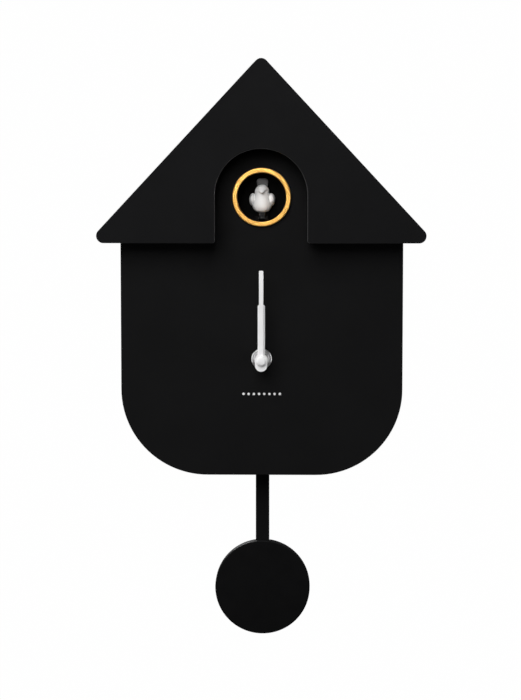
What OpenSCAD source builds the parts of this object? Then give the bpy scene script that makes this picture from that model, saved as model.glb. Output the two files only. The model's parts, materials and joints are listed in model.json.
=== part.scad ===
// Gable-roofed wall cuckoo clock with a sliding bird, two hands and a swinging pendulum.
// Millimetres, +Z up. The front faces -Y, the wall is the plane y = 0, and the origin is the
// point on the wall plane where the hanging screw carries the clock.

/* [Roof] */
// Height of the sharp roof apex above the hanging screw
roof_top = 62.8; // [62:0.2:66]
// Height of the flat roof underside
roof_base = -65; // [-66:0.5:-64]
// Slope of both roof faces from horizontal, degrees
roof_pitch = 47; // [46:0.5:48]
// Distance from the wall to the roof front
roof_front = 80; // [80:1:90]
// Wall thickness of the roof
roof_wall = 2.8; // [2.2:0.1:3]
// Corner radius at the eaves and the apex
roof_round = 5; // [3:0.5:6]
// Radius of the arched notch in the roof front
arch_r = 31.7; // [29:0.1:33]
// Height of the arch centre
arch_z = -32.5; // [-34:0.1:-31]

/* [Body] */
// Half width of the body
body_half = 97.75; // [96.5:0.25:99]
// Distance from the wall to the dial face
dial_front = 60; // [60:1:60]
// Radius of the two lower body corners
body_round = 60; // [50:1:62]
// Height of the body underside
body_base = -227.6; // [-229:0.2:-226]
// Height of the hidden upper edge of the body
body_top = 12; // [11:0.5:13]
// Wall thickness of the body
body_wall = 2.5; // [2.2:0.1:2.6]

/* [Window and bird] */
// Height of the window centre
window_z = -34.2; // [-35:0.1:-33]
// Inner radius of the window ring
ring_in = 16.95; // [16.8:0.05:17.2]
// Outer radius of the window ring
ring_out = 20.3; // [19.8:0.1:21]
// How far the ring stands out of the dial
ring_proud = 2.5; // [1.5:0.1:3]

/* [Hands] */
// Height of the hand centre
hand_z = -146; // [-147:0.5:-145]
// Length of the minute hand
minute_len = 62; // [50:0.5:72]
// Width of the minute hand
minute_w = 3; // [2.4:0.1:4]
// Length of the hour hand
hour_len = 38.2; // [30:0.2:48]
// Width of the hour hand
hour_w = 5; // [4:0.1:7]
// How far the minute hand's hub runs on below the hand centre
hub_tail = 3.2; // [1:0.2:4]

/* [Pendulum] */
// Height of the pendulum pivot
pivot_z = -182; // [-183:0.5:-181]
// Height of the bob centre
bob_z = -312.7; // [-330:0.5:-300]
// Radius of the bob
bob_r = 33.7; // [28:0.1:40]
// Width of the flat rod
rod_w = 9.6; // [8:0.2:10]

/* [Hidden] */
$fn = 96;
eps = 0.05;
arc_lap = 0.003;
roof_tan = tan(roof_pitch);
roof_sin = sin(roof_pitch);
arch_wall = 2.6;
dial_back = dial_front - body_wall;
cover_back = 2;
cover_front = 4.5;
cover_gap = 0.3;
boss_r = 4;
screw_r = 1.5;
pilot_r = 1.52;
clear_r = 1.7;
head_r = 3.1;
head_h = 1.2;
roof_screw_at = [[70, -50], [42, -14]];
cover_screw_at = [[92.5, -75], [92.5, -150], [30, -222.3], [30, 6.7]];
bumper_at = [[50, -15], [60, -205]];

// Keyhole
key_r = 2.5;
key_entry_r = 5;
key_drop = 12;
rivet_at = [[11, -4], [11, -18]];

// Pendulum slot in the body underside
slot_half = 22;
slot_y = [-36, -18];

// Gears
gear_m = 0.4;
gear_pa = 25;
gear_lash = 0.07;
cannon_teeth = 15;
motion_teeth = 45;
motion_pinion_teeth = 12;
hour_teeth = 48;
centre_teeth = 60;
third_pinion_teeth = 10;
third_teeth = 50;
set_teeth = 20;
motion_x = -(cannon_teeth + motion_teeth) * gear_m / 2;
third_dz = (centre_teeth + third_pinion_teeth) * gear_m / 2;
set_x = (centre_teeth + set_teeth) * gear_m / 2;

// Movement case
case_half = 28;
case_front = 57.4;
case_split = 46;
case_back = 34;
case_wall = 2;
neck_r = 4.1;
neck_end = 64.6;
case_screw_at = 24.5;

// Hour tube and minute arbor
hour_tube_r = 2.5;
arbor_r = 1.6;
run_gap = 0.05;

// Bird drive
rack_m = 0.5;
rack_teeth_n = 19;
rack_pitch_z = -50;
drive_teeth = 18;
drive_y = -37;
drive_r = drive_teeth * rack_m / 2;
drive_z = rack_pitch_z - drive_r;
spur_teeth = 48;
motor_teeth = 12;
motor_z = drive_z - (spur_teeth + motor_teeth) * rack_m / 2;
tunnel_in = 17.4;
tunnel_out = 19;
tunnel_back = 33;
strip_half = 2.5;
strip_top = -48.2;
strip_root = rack_pitch_z + 0.65;
post_y = [-45, -42];

// Back panel controls
speaker_at = [-55, -120];
tray_x = [44, 80.5];
tray_z = [-153, -91];
tray_deep = 22;
tray_wall = 2;
cell_x = [54.4, 70.1];
cell_r = 7.25;
cell_len = 50.5;
board_x = [26, 80];
board_z = [-88, -46];
board_y = [-19.6, -18];
wheel_at = [36, -9.2, -66];
switch_at = [54, -66];
button_at = [70, -66];

// Sub-part to draw, or all of them

// Colours
black = [0.05, 0.05, 0.055];
dark = [0.12, 0.12, 0.13];
grey = [0.35, 0.36, 0.38];
white = [0.93, 0.93, 0.91];
steel = [0.72, 0.73, 0.75];
gold = [0.85, 0.66, 0.33];
copper = [0.72, 0.42, 0.22];
green = [0.1, 0.35, 0.2];
amber = [0.86, 0.5, 0.12];

// ---------- shared shapes ----------

// Extrudes a drawing of x and z from depth a to depth b, both distances in front of the wall
module slab(a, b) {
    translate([0, -min(a, b), 0])
        rotate([90, 0, 0])
            linear_extrude(abs(b - a))
                children();
}

// Extrudes a drawing of y and z along x from a to b
module side_slab(a, b) {
    translate([a, 0, 0])
        rotate([90, 0, 90])
            linear_extrude(b - a)
                children();
}

// Cylinder along the depth axis, from depth a to depth b
module spindle(r, a, b, fn = 48) {
    translate([0, -min(a, b), 0])
        rotate([90, 0, 0])
            cylinder(r = r, h = abs(b - a), $fn = fn);
}

// Box from two opposite corners
module block(low, high) {
    translate(low)
        cube(high - low);
}

// Copies its children to each side of the middle plane at every listed x and z
module both_sides(points) {
    for (p = points, s = [-1, 1])
        translate([s * p[0], 0, p[1]])
            children();
}

function unit(a, b) = (b - a) / norm(b - a);
function corner(p, i) = [
    unit(p[i], p[(i + len(p) - 1) % len(p)]),
    unit(p[i], p[(i + 1) % len(p)])
];
function half_angle(c) = acos(c[0] * c[1]) / 2;
function run_out(c, r) = r / tan(half_angle(c));
function arc_shift(c, r) = unit([0, 0], c[0] + c[1]) * r / sin(half_angle(c));

// Convex outline with a tangent arc of radius r[i] at each corner p[i]
module rounded(p, r) {
    polygon([
        for (i = [0 : len(p) - 1])
            for (s = r[i] > 0 ? [0, 1] : [0])
                p[i] + corner(p, i)[s] * run_out(corner(p, i), r[i])
    ]);
    for (i = [0 : len(p) - 1])
        if (r[i] > 0)
            translate(p[i] + arc_shift(corner(p, i), r[i]))
                circle(r = r[i] + arc_lap);
}

// Half width of the roof at height z, moved in by a wall of thickness t
function roof_half(z, t = 0) = (roof_top - z) / roof_tan - t / roof_sin;

// Roof outline moved in by t
module roof_outline(t = 0) {
    b = roof_base + t;
    r = max(roof_round - t, 0.8);
    rounded(
        [[-roof_half(b, t), b], [roof_half(b, t), b], [0, roof_top - t / cos(roof_pitch)]],
        [r, r, r]
    );
}

// Body outline moved in by t
module body_outline(t = 0) {
    fit = roof_wall + 0.8;
    half = body_half - t;
    top = body_top - t;
    shoulder = roof_top - (half + (fit + t) / roof_sin) * roof_tan;
    low = body_base + t;
    rounded(
        [
            [-half, low], [half, low], [half, shoulder],
            [roof_half(top, fit + t), top], [-roof_half(top, fit + t), top], [-half, shoulder]
        ],
        [body_round - t, body_round - t, 0, 0, 0, 0]
    );
}

// Arched opening of radius r, open at the bottom
module arch(r, low) {
    translate([0, arch_z])
        circle(r = r);
    translate([-r, low])
        square([2 * r, arch_z - low]);
}

// Involute helpers: inv() in degrees
function inv(a) = tan(a) * 180 / PI - a;
function tooth_half(teeth, m, r) =
    let(rp = teeth * m / 2, rb = rp * cos(gear_pa))
    (PI * m / 2 - gear_lash) / (2 * rp) * 180 / PI + inv(gear_pa) - inv(acos(min(1, rb / max(r, rb))));

// Spur gear outline with one tooth centred at the given angle
module gear_2d(teeth, m, turn, bore) {
    rp = teeth * m / 2;
    root = rp - 1.25 * m;
    tip = rp + 0.95 * m;
    radii = [root, max(root, rp * cos(gear_pa)) + 0.01, rp, (rp + tip) / 2, tip];
    pitch = 360 / teeth;
    difference() {
        rotate(turn)
            polygon([
                for (i = [0 : teeth - 1], k = [-4 : 4])
                    if (k != 0 || i < 0)
                        let(
                            r = radii[k < 0 ? 4 + k : 5 - k],
                            side = k < 0 ? -1 : 1,
                            a = i * pitch + side * tooth_half(teeth, m, r)
                        )
                        [r * cos(a), r * sin(a)]
            ]);
        circle(r = bore, $fn = 48);
    }
}

// ---------- roof, body and back ----------

module roof_shell() {
    color(black)
        difference() {
            union() {
                difference() {
                    slab(cover_back, roof_front)
                        roof_outline();
                    slab(cover_back + roof_wall, roof_front - roof_wall)
                        roof_outline(roof_wall);
                }
                slab(dial_front + 0.3, roof_front - roof_wall + 0.5)
                    arch(arch_r + arch_wall, roof_base + 0.7);
                both_sides(roof_screw_at)
                    spindle(boss_r, dial_front + 0.5, roof_front - roof_wall + 0.5);
            }
            slab(dial_front, roof_front + 1)
                arch(arch_r, roof_base - 5);
            slab(cover_back - 1, dial_front + 0.2)
                body_outline(-0.2);
            both_sides(roof_screw_at)
                spindle(pilot_r, dial_front - 1, dial_front + 13);
        }
}

module body_shell() {
    color(black)
        difference() {
            union() {
                difference() {
                    slab(cover_back, dial_front)
                        body_outline();
                    slab(cover_back - 1, dial_back)
                        body_outline(body_wall);
                }
                both_sides(cover_screw_at)
                    spindle(boss_r, cover_front, dial_back + eps);
            }
            translate([0, 0, window_z])
                spindle(18.9, dial_back - 1, dial_front + 1, 96);
            translate([0, 0, hand_z])
                spindle(neck_r + 0.2, dial_back - 1, dial_front + 1);
            both_sides(roof_screw_at)
                spindle(clear_r, dial_back - 1, dial_front + 1);
            both_sides(cover_screw_at)
                spindle(pilot_r, cover_front - 1, cover_front + 12);
            block(
                [-slot_half, slot_y[0], body_base - 1],
                [slot_half, slot_y[1], body_base + body_wall + 1]
            );
        }
}

// Keyhole outline around the hanging point
module keyhole() {
    circle(r = key_r, $fn = 48);
    translate([-key_r, -key_drop])
        square([2 * key_r, key_drop]);
    translate([0, -key_drop])
        circle(r = key_entry_r, $fn = 64);
}

module back_cover() {
    grille = 24;
    color(dark)
        difference() {
            union() {
                slab(cover_back, cover_front)
                    body_outline(body_wall + cover_gap);
                for (x = [board_x[0] + 3, board_x[1] - 3], z = [board_z[0] + 3, board_z[1] - 3])
                    translate([x, 0, z])
                        spindle(2.4, cover_front - eps, -board_y[1]);
            }
            both_sides(cover_screw_at)
                spindle(clear_r, cover_back - 1, cover_front + 1);
            slab(cover_back - 1, cover_front + 1)
                keyhole();
            both_sides(rivet_at)
                spindle(1.55, cover_back - 1, cover_front + 1);
            block(
                [tray_x[0] + tray_wall, -cover_front - 1, tray_z[0] + tray_wall],
                [tray_x[1] - tray_wall, -cover_back + 1, tray_z[1] - tray_wall]
            );
            translate([set_x, 0, hand_z])
                spindle(9.5, cover_back - 1, cover_front + 1);
            for (k = [-3 : 3])
                let(x = speaker_at[0] + k * 6, h = sqrt(pow(grille, 2) - pow(k * 6, 2)) - 5)
                block(
                    [x - 1.3, -cover_front - 1, speaker_at[1] - h],
                    [x + 1.3, -cover_back + 1, speaker_at[1] + h]
                );
            block(
                [wheel_at[0] - 7.4, -cover_front - 1, wheel_at[2] - 1.9],
                [wheel_at[0] + 7.4, -cover_back + 1, wheel_at[2] + 1.9]
            );
            block(
                [switch_at[0] - 5, -cover_front - 1, switch_at[1] - 2],
                [switch_at[0] + 5, -cover_back + 1, switch_at[1] + 2]
            );
            translate([button_at[0], 0, button_at[1]])
                spindle(4, cover_back - 1, cover_front + 1);
            for (x = [board_x[0] + 3, board_x[1] - 3], z = [board_z[0] + 3, board_z[1] - 3])
                translate([x, 0, z])
                    spindle(1.02, 10, -board_y[1] + 1);
        }
}

// Pan-head screw whose shank runs forward from depth a
module wall_screw(a, length) {
    difference() {
        union() {
            spindle(head_r, a - head_h, a);
            spindle(screw_r, a - eps, a + length);
        }
        for (t = [0, 90])
            translate([0, -a + head_h, 0])
                rotate([0, t, 0])
                    cube([3.6, 1.2, 0.7], center = true);
    }
}

module roof_screws() {
    color(steel)
        both_sides(roof_screw_at)
            wall_screw(dial_back, 12);
}

module cover_screws() {
    color(steel)
        both_sides(cover_screw_at)
            wall_screw(cover_back, 12);
}

module wall_bumpers() {
    color(grey)
        both_sides(bumper_at)
            rotate([90, 0, 0])
                rotate_extrude()
                    polygon([[0, 0], [4.6, 0], [5.4, cover_back], [0, cover_back]]);
}

module hanger_plate() {
    color(steel)
        slab(cover_front, cover_front + 1.2)
            difference() {
                rounded([[-16, -23], [16, -23], [16, 8], [-16, 8]], [3, 3, 3, 3]);
                keyhole();
                for (p = rivet_at, s = [-1, 1])
                    translate([s * p[0], p[1]])
                        circle(r = 1.55, $fn = 32);
            }
}

module hanger_rivets() {
    color(steel)
        both_sides(rivet_at)
            union() {
                spindle(screw_r, cover_back - 0.4, cover_front + 1.2 + 0.4, 32);
                spindle(2.6, cover_back - 0.8, cover_back, 32);
                spindle(2.6, cover_front + 1.2, cover_front + 2, 32);
            }
}

// ---------- window, bird and its drive ----------

module window_ring() {
    color(gold)
        translate([0, -dial_front, window_z])
            rotate([90, 0, 0])
                rotate_extrude($fn = 128)
                    polygon([
                        [ring_in, -body_wall], [18.8, -body_wall], [18.8, 0], [ring_out, 0],
                        [ring_out, ring_proud - 0.5], [ring_out - 0.5, ring_proud],
                        [ring_in + 0.4, ring_proud], [ring_in, ring_proud - 0.4]
                    ]);
}

module bird_tunnel() {
    color(black)
        difference() {
            union() {
                difference() {
                    translate([0, 0, window_z])
                        spindle(tunnel_out, tunnel_back, dial_back - 0.1, 96);
                    translate([0, 0, window_z])
                        spindle(tunnel_in, tunnel_back - 1, dial_back + 1, 96);
                }
                for (s = [-1, 1])
                    block(
                        [s < 0 ? -4.4 : strip_half + 0.05, -dial_back + 0.1, -52],
                        [s < 0 ? -strip_half - 0.05 : 4.4, -tunnel_back, -47.6]
                    );
                block([-4.4, -41.5, strip_top + 0.1], [4.4, -tunnel_back, -46.6]);
                translate([0, 0, window_z])
                    spindle(tunnel_out, tunnel_back - 1.6, tunnel_back + eps, 96);
            }
            block([-strip_half - 0.05, -43.5, -56], [strip_half + 0.05, -tunnel_back + 3, -49]);
            block(
                [-strip_half - 0.05, -tunnel_back - 1, -50],
                [strip_half + 0.05, -tunnel_back + 3, strip_top + 0.1]
            );
        }
}

module bird_guide() {
    color(grey)
        difference() {
            union() {
                for (x = [-7, 5])
                    block([x, -dial_back + 0.1, -61.5], [x + 2, -29, -51]);
                block([-7, -dial_back + 0.1, -61.5], [7, -29, -60.3]);
                block([-8.5, -44, -61.5], [-5, -30, -57]);
            }
            translate([0, 0, window_z])
                spindle(tunnel_out + 0.1, tunnel_back - 5, dial_back + 1, 96);
            translate([-10, drive_y, drive_z])
                rotate([0, 90, 0])
                    cylinder(r = 1.05, h = 20, $fn = 48);
        }
}

module bird_motor() {
    color(steel)
        translate([0, drive_y, motor_z])
            difference() {
                intersection() {
                    union() {
                        translate([-7, 0, 0])
                            rotate([0, 90, 0])
                                cylinder(r = 10, h = 25, $fn = 64);
                        translate([-9, 0, 0])
                            rotate([0, 90, 0])
                                cylinder(r = 3, h = 2.1, $fn = 48);
                    }
                    block([-10, -11, -7.9], [19, 11, 7.9]);
                }
                translate([8, 0, 0])
                    rotate([0, 90, 0])
                        cylinder(r = 1.05, h = 11, $fn = 48);
            }
}

// Motor shaft pinion, meshed below the spur gear of the bird drive
module motor_gear() {
    color(gold)
        translate([0, drive_y, motor_z]) {
            side_slab(20.2, 22.8)
                gear_2d(motor_teeth, rack_m, 90 + 180 / motor_teeth, 0);
            translate([12, 0, 0])
                rotate([0, 90, 0])
                    cylinder(r = 1, h = 8.3, $fn = 48);
        }
}

// Spur gear and rack pinion on one cross shaft
module bird_drive_gear() {
    color(gold)
        translate([0, drive_y, drive_z]) {
            side_slab(-2, 2)
                gear_2d(drive_teeth, rack_m, 90, 0);
            side_slab(20.4, 22.4)
                gear_2d(spur_teeth, rack_m, -90, 0);
            translate([-8, 0, 0])
                rotate([0, 90, 0])
                    cylinder(r = 1, h = 30, $fn = 48);
        }
}

module bird_rack() {
    pitch = PI * rack_m;
    half = pitch / 4 - gear_lash / 2;
    color(dark) {
        block([-strip_half, -55, strip_root - eps], [strip_half, -8, strip_top]);
        side_slab(-1.8, 1.8)
            for (k = [0 : rack_teeth_n])
                translate([drive_y + (k - 0.5) * pitch, rack_pitch_z])
                    polygon([
                        [-half - 0.65 * tan(gear_pa), 0.65], [-half + 0.47 * tan(gear_pa), -0.47],
                        [half - 0.47 * tan(gear_pa), -0.47], [half + 0.65 * tan(gear_pa), 0.65]
                    ]);
    }
}

module bird_post() {
    color(dark)
        block([-2.4, post_y[0], strip_top], [2.4, post_y[1], -42]);
}

// Places what follows on the flat of the head that carries the beak
module beak_seat() {
    translate([0, -51.33, -31.1])
        rotate([97, 0, 0])
            children();
}

module bird_body() {
    color(white)
        difference() {
            union() {
                translate([0, -44.2, -38.2])
                    sphere(r = 6.8, $fn = 64);
                translate([0, -39.4, -38.4])
                    sphere(r = 5.6, $fn = 64);
                translate([0, -46.4, -30.7])
                    sphere(r = 5.05, $fn = 64);
            }
            block([-2.42, post_y[0] - 0.02, -50], [2.42, post_y[1] + 0.02, -41.98]);
            block([-4.6, -36.9, -38], [4.6, -35.1, -20]);
            for (x = [-8.68, 6.68])
                block([x, -52, -46], [x + 2, -32, -31]);
            beak_seat()
                cylinder(r = 3, h = 2);
        }
}

module bird_wings() {
    color(white)
        for (x = [-9.2, 6.7])
            side_slab(x, x + 2.5)
                rounded([[-47.5, -33.5], [-46.5, -41.5], [-36.5, -42], [-41, -34]], [2.2, 2.6, 1, 1.6]);
}

module bird_beak() {
    color(amber)
        beak_seat()
            translate([0, 0, 0.02])
                cylinder(r1 = 1.6, r2 = 0.25, h = 3.4, $fn = 48);
}

module bird_tail() {
    color(dark)
        slab(35.2, 36.8)
            rounded([[-2.6, -36.4], [2.6, -36.4], [4.5, -21.5], [-4.5, -21.5]], [0, 0, 1.6, 1.6]);
}

// ---------- movement ----------

// Square case outline moved in by t
module case_outline(t = 0) {
    h = case_half - t;
    translate([0, hand_z])
        rounded([[-h, -h], [h, -h], [h, h], [-h, h]], [4 - t, 4 - t, 4 - t, 4 - t]);
}

module movement_front() {
    color(dark)
        difference() {
            union() {
                difference() {
                    slab(case_split, case_front)
                        case_outline();
                    slab(case_split - 1, case_front - case_wall)
                        case_outline(case_wall);
                }
                translate([0, 0, hand_z])
                    spindle(neck_r, case_front - eps, neck_end);
                both_sides([[case_screw_at, hand_z - case_screw_at], [case_screw_at, hand_z + case_screw_at]])
                    spindle(2.4, case_split, case_front - eps);
                translate([motion_x, 0, hand_z])
                    spindle(0.8, 48, case_front - eps, 32);
            }
            translate([0, 0, hand_z])
                spindle(hour_tube_r + run_gap, case_split, neck_end + 1);
            both_sides([[case_screw_at, hand_z - case_screw_at], [case_screw_at, hand_z + case_screw_at]])
                spindle(1.02, case_split - 1, case_split + 9);
        }
}

module movement_rear() {
    inner = case_back + case_wall;
    color(dark)
        difference() {
            union() {
                difference() {
                    slab(case_back, case_split - 0.02)
                        case_outline();
                    slab(inner, case_split + 1)
                        case_outline(case_wall);
                }
                both_sides([[case_screw_at, hand_z - case_screw_at], [case_screw_at, hand_z + case_screw_at]])
                    spindle(2.4, inner - eps, case_split - 0.02);
                translate([set_x, 0, hand_z])
                    spindle(3.4, inner - eps, inner + 4);
                translate([0, 0, hand_z])
                    spindle(2.4, inner - eps, inner + 3);
                translate([0, 0, hand_z + third_dz])
                    spindle(2.4, inner - eps, inner + 3);
            }
            translate([set_x, 0, hand_z])
                spindle(2 + run_gap, case_back - 1, inner + 5);
            translate([0, 0, hand_z])
                spindle(1 + run_gap, inner - 0.5, inner + 4);
            translate([0, 0, hand_z + third_dz])
                spindle(0.8 + run_gap, inner - 0.5, inner + 4);
            both_sides([[case_screw_at, hand_z - case_screw_at], [case_screw_at, hand_z + case_screw_at]])
                spindle(1.2, case_back - 1, case_split + 1);
        }
}

module case_screws() {
    color(steel)
        both_sides([[case_screw_at, hand_z - case_screw_at], [case_screw_at, hand_z + case_screw_at]]) {
            spindle(2, case_back - 1, case_back, 32);
            spindle(1, case_back - eps, case_split + 8, 32);
        }
}

module dial_washer() {
    color(dark)
        translate([0, 0, hand_z])
            difference() {
                spindle(6.5, dial_front, dial_front + 1);
                spindle(neck_r + 0.05, dial_front - 1, dial_front + 2);
            }
}

module hand_nut() {
    color(steel)
        translate([0, -dial_front - 1, hand_z])
            rotate([90, 0, 0])
                rotate_extrude()
                    polygon([
                        [neck_r + 0.03, 0], [7.1, 0], [7.1, 1.4], [6.6, 1.9], [5.3, 1.9],
                        [5.1, 3.2], [neck_r + 0.03, 3.2]
                    ]);
}

module hour_wheel() {
    color(gold)
        translate([0, 0, hand_z]) {
            slab(51.6, 53.6)
                gear_2d(hour_teeth, gear_m, 180, arbor_r + run_gap);
            difference() {
                spindle(hour_tube_r, 53.6 - eps, 72.6);
                spindle(arbor_r + run_gap, 50, 74);
            }
        }
}

// Straight bar hand with slightly rounded tip corners
module blade(width, length) {
    rounded(
        [[-width / 2, 0], [width / 2, 0], [width / 2, length], [-width / 2, length]],
        [0, 0, width * 0.22, width * 0.22]
    );
}

// Round hub with a short round tail below it
module tailed_hub(r) {
    circle(r = r, $fn = 96);
    translate([-r, -hub_tail])
        square([2 * r, hub_tail]);
    translate([0, -hub_tail])
        circle(r = r, $fn = 96);
}

module hour_hand() {
    color(white)
        translate([0, 0, hand_z])
            difference() {
                union() {
                    slab(70.6, 71.5)
                        blade(hour_w, hour_len);
                    spindle(4.5, 69.4, 71.9);
                }
                spindle(hour_tube_r + 0.02, 60, 80);
            }
}

module centre_arbor() {
    color(steel)
        translate([0, 0, hand_z]) {
            slab(48.2, 50.2)
                gear_2d(cannon_teeth, gear_m, 180, 0);
            spindle(arbor_r, 50.2 - eps, 78.8);
            spindle(1.8, 42.5, 48.2 + eps);
            spindle(1, case_back + case_wall, 42.5 + eps);
        }
}

module centre_wheel() {
    color(gold)
        translate([0, 0, hand_z])
            slab(43.8, 45.4)
                gear_2d(centre_teeth, gear_m, 90, 1.82);
}

module minute_hand() {
    color(white)
        translate([0, 0, hand_z])
            difference() {
                union() {
                    slab(75.8, 76.6)
                        blade(minute_w, minute_len);
                    slab(74.8, 77.2)
                        tailed_hub(4.2);
                }
                spindle(arbor_r + 0.02, 60, 80);
            }
}

module hand_cap() {
    color(white)
        translate([0, -77.25, hand_z])
            rotate([90, 0, 0])
                difference() {
                    rotate_extrude()
                        polygon([[0, 0], [3.4, 0], [3.4, 1.4], [3, 2.1], [2, 2.6], [0, 2.7]]);
                    translate([0, 0, -1])
                        cylinder(r = arbor_r + 0.02, h = 2.6, $fn = 48);
                }
}

module motion_wheel() {
    color(gold)
        translate([motion_x, 0, hand_z]) {
            slab(48.4, 50)
                gear_2d(motion_teeth, gear_m, 180 / motion_teeth, 0.8 + run_gap);
            slab(50 - eps, 53.8)
                gear_2d(motion_pinion_teeth, gear_m, 180 / motion_pinion_teeth, 0.8 + run_gap);
        }
}

module third_wheel() {
    color(gold)
        translate([0, 0, hand_z + third_dz]) {
            slab(43.6, 45.6)
                gear_2d(third_pinion_teeth, gear_m, 270 + 180 / third_pinion_teeth, 0);
            slab(41.2, 42.6)
                gear_2d(third_teeth, gear_m, 0, 0);
            spindle(0.8, case_back + case_wall, 41.2 + eps, 32);
            spindle(1.4, 42.6 - eps, 43.6 + eps, 32);
        }
}

module set_shaft() {
    color(steel)
        translate([set_x, 0, hand_z]) {
            slab(43.6, 45.6)
                gear_2d(set_teeth, gear_m, 180 + 180 / set_teeth, 0);
            spindle(2, 5, 43.6 + eps);
        }
}

module set_knob() {
    color(dark)
        translate([set_x, 0, hand_z])
            difference() {
                union() {
                    spindle(7.4, 1.4, 9.5, 64);
                    for (a = [0 : 30 : 330])
                        rotate([0, a, 0])
                            translate([7.3, 0, 0])
                                spindle(0.8, 1.8, 9, 24);
                }
                spindle(2.02, 4.9, 10);
                translate([0, -1.4, 0])
                    rotate([90, 0, 0])
                        translate([0, 0, -0.1])
                            cylinder(r1 = 4.6, r2 = 4.2, h = 0.9, $fn = 48);
            }
}

module drive_stator() {
    color(steel)
        slab(38.6, 39.6)
            translate([0, hand_z - 20])
                difference() {
                    rounded([[-21, -5.4], [21, -5.4], [21, 5.4], [-21, 5.4]], [2, 2, 2, 2]);
                    circle(r = 3, $fn = 48);
                }
}

module drive_coil() {
    color(copper)
        translate([0, -45.8, hand_z - 20])
            rotate([0, 90, 0])
                difference() {
                    union() {
                        cylinder(r = 4.6, h = 24, center = true, $fn = 64);
                        for (z = [-12.6, 12.6])
                            translate([0, 0, z])
                                cylinder(r = 5.4, h = 1.3, center = true, $fn = 64);
                    }
                    cylinder(r = 1.6, h = 30, center = true, $fn = 48);
                }
}

module movement_board() {
    color(green)
        block([4, -38.2, hand_z + 14], [23, -37, hand_z + 22]);
}

// ---------- pendulum ----------

module pendulum_bracket() {
    color(dark)
        difference() {
            union() {
                block([-14, -case_back + 0.02, pivot_z - 6], [14, -32, hand_z - 6]);
                translate([0, 0, pivot_z])
                    spindle(1.5, 22.5, 32 + eps);
                translate([0, 0, pivot_z])
                    spindle(3.2, 27.2, 32 + eps);
            }
            translate([0, 0, hand_z - 19])
                spindle(2, 30, 36);
        }
}

module pendulum_coil() {
    color(copper)
        translate([0, 0, hand_z - 19])
            difference() {
                union() {
                    spindle(7, 30.2, 32);
                    spindle(1.98, 31.9, case_back - 0.1);
                }
                spindle(1.2, 29, 31.5);
            }
}

// Swinging lever: an eye on the pivot pin, a magnet arm above it and a rod tab below it
module pendulum_hanger() {
    color(grey)
        difference() {
            union() {
                slab(24.6, 26.6) {
                    translate([0, pivot_z])
                        circle(r = 4.6);
                    translate([-3, pivot_z - 18])
                        square([6, 34]);
                    translate([0, hand_z - 19])
                        circle(r = 4.4);
                }
                translate([0, 0, pivot_z - 13])
                    spindle(1.5, 26.6 - eps, 29.6);
            }
            translate([0, 0, pivot_z])
                spindle(1.5 + run_gap, 20, 30);
        }
}

module pendulum_magnet() {
    color(steel)
        translate([0, 0, hand_z - 19])
            spindle(3.6, 26.6, 29.4);
}

module pendulum_rod() {
    color(black)
        slab(26.6, 28.6)
            difference() {
                rounded(
                    [
                        [-rod_w / 2, bob_z + 4], [rod_w / 2, bob_z + 4],
                        [rod_w / 2, pivot_z - 8], [-rod_w / 2, pivot_z - 8]
                    ],
                    [0, 0, 2, 2]
                );
                translate([0, pivot_z - 13])
                    circle(r = 1.52, $fn = 48);
            }
}

module bob_shell() {
    front = 32.6;
    back = 24.6;
    color(black)
        difference() {
            union() {
                translate([0, -back, bob_z])
                    rotate([90, 0, 0])
                        rotate_extrude($fn = 180)
                            polygon([
                                [0, 6.2], [bob_r - 1.8, 6.2], [bob_r - 1.8, 0], [bob_r - 0.4, 0],
                                [bob_r, 0.4], [bob_r, 7.2], [bob_r - 0.25, 7.75],
                                [bob_r - 0.8, 8], [0, 8]
                            ]);
                for (s = [-1, 1])
                    translate([s * 22, 0, bob_z])
                        spindle(3, 26.3, front - 1);
            }
            block([-rod_w / 2 - 0.1, -28.75, bob_z + bob_r - 4], [rod_w / 2 + 0.1, -20, bob_z + bob_r + 1]);
            for (s = [-1, 1])
                translate([s * 22, 0, bob_z])
                    spindle(1.02, 25, 30);
        }
}

module bob_weight() {
    color(steel)
        translate([0, 0, bob_z])
            spindle(17, 28.8, 30.75, 96);
}

module bob_back() {
    color(dark)
        translate([0, 0, bob_z])
            difference() {
                spindle(bob_r - 1.9, 24.7, 26.2, 128);
                for (s = [-1, 1])
                    translate([s * 22, 0, 0])
                        spindle(1.1, 20, 30);
            }
}

module bob_screws() {
    color(steel)
        for (s = [-1, 1])
            translate([s * 22, 0, bob_z]) {
                spindle(2.2, 23.7, 24.7, 32);
                spindle(1, 24.7 - eps, 29.5, 32);
            }
}

// ---------- sound, power and controls ----------

module speaker_frame() {
    color(grey)
        translate([speaker_at[0], -cover_front, speaker_at[1]])
            rotate([90, 0, 0])
                difference() {
                    rotate_extrude($fn = 96)
                        polygon([
                            [21, 0], [26, 0], [26, 1.6], [22.6, 1.6], [13, 15], [5, 15],
                            [5, 14], [12.4, 14], [21, 2.4]
                        ]);
                    for (a = [45 : 90 : 315])
                        rotate(a)
                            translate([17.4, 0, 8])
                                cylinder(r = 3.2, h = 20, center = true, $fn = 48);
                }
}

module speaker_cone() {
    color(dark)
        translate([speaker_at[0], -cover_front, speaker_at[1]])
            rotate([90, 0, 0])
                rotate_extrude($fn = 96)
                    polygon([
                        [0, 9.4], [4, 9.9], [20.6, 0.7], [20.6, 1.3],
                        [4.6, 10.6], [4.6, 13.6], [0, 13.6]
                    ]);
}

module speaker_magnet() {
    color(steel)
        translate([speaker_at[0], 0, speaker_at[1]])
            spindle(13, cover_front + 15, cover_front + 22, 96);
}

module sound_board() {
    color(green)
        difference() {
            block([board_x[0], board_y[0], board_z[0]], [board_x[1], board_y[1], board_z[1]]);
            for (x = [board_x[0] + 3, board_x[1] - 3], z = [board_z[0] + 3, board_z[1] - 3])
                translate([x, 0, z])
                    spindle(1.2, 17, 21);
        }
}

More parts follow.
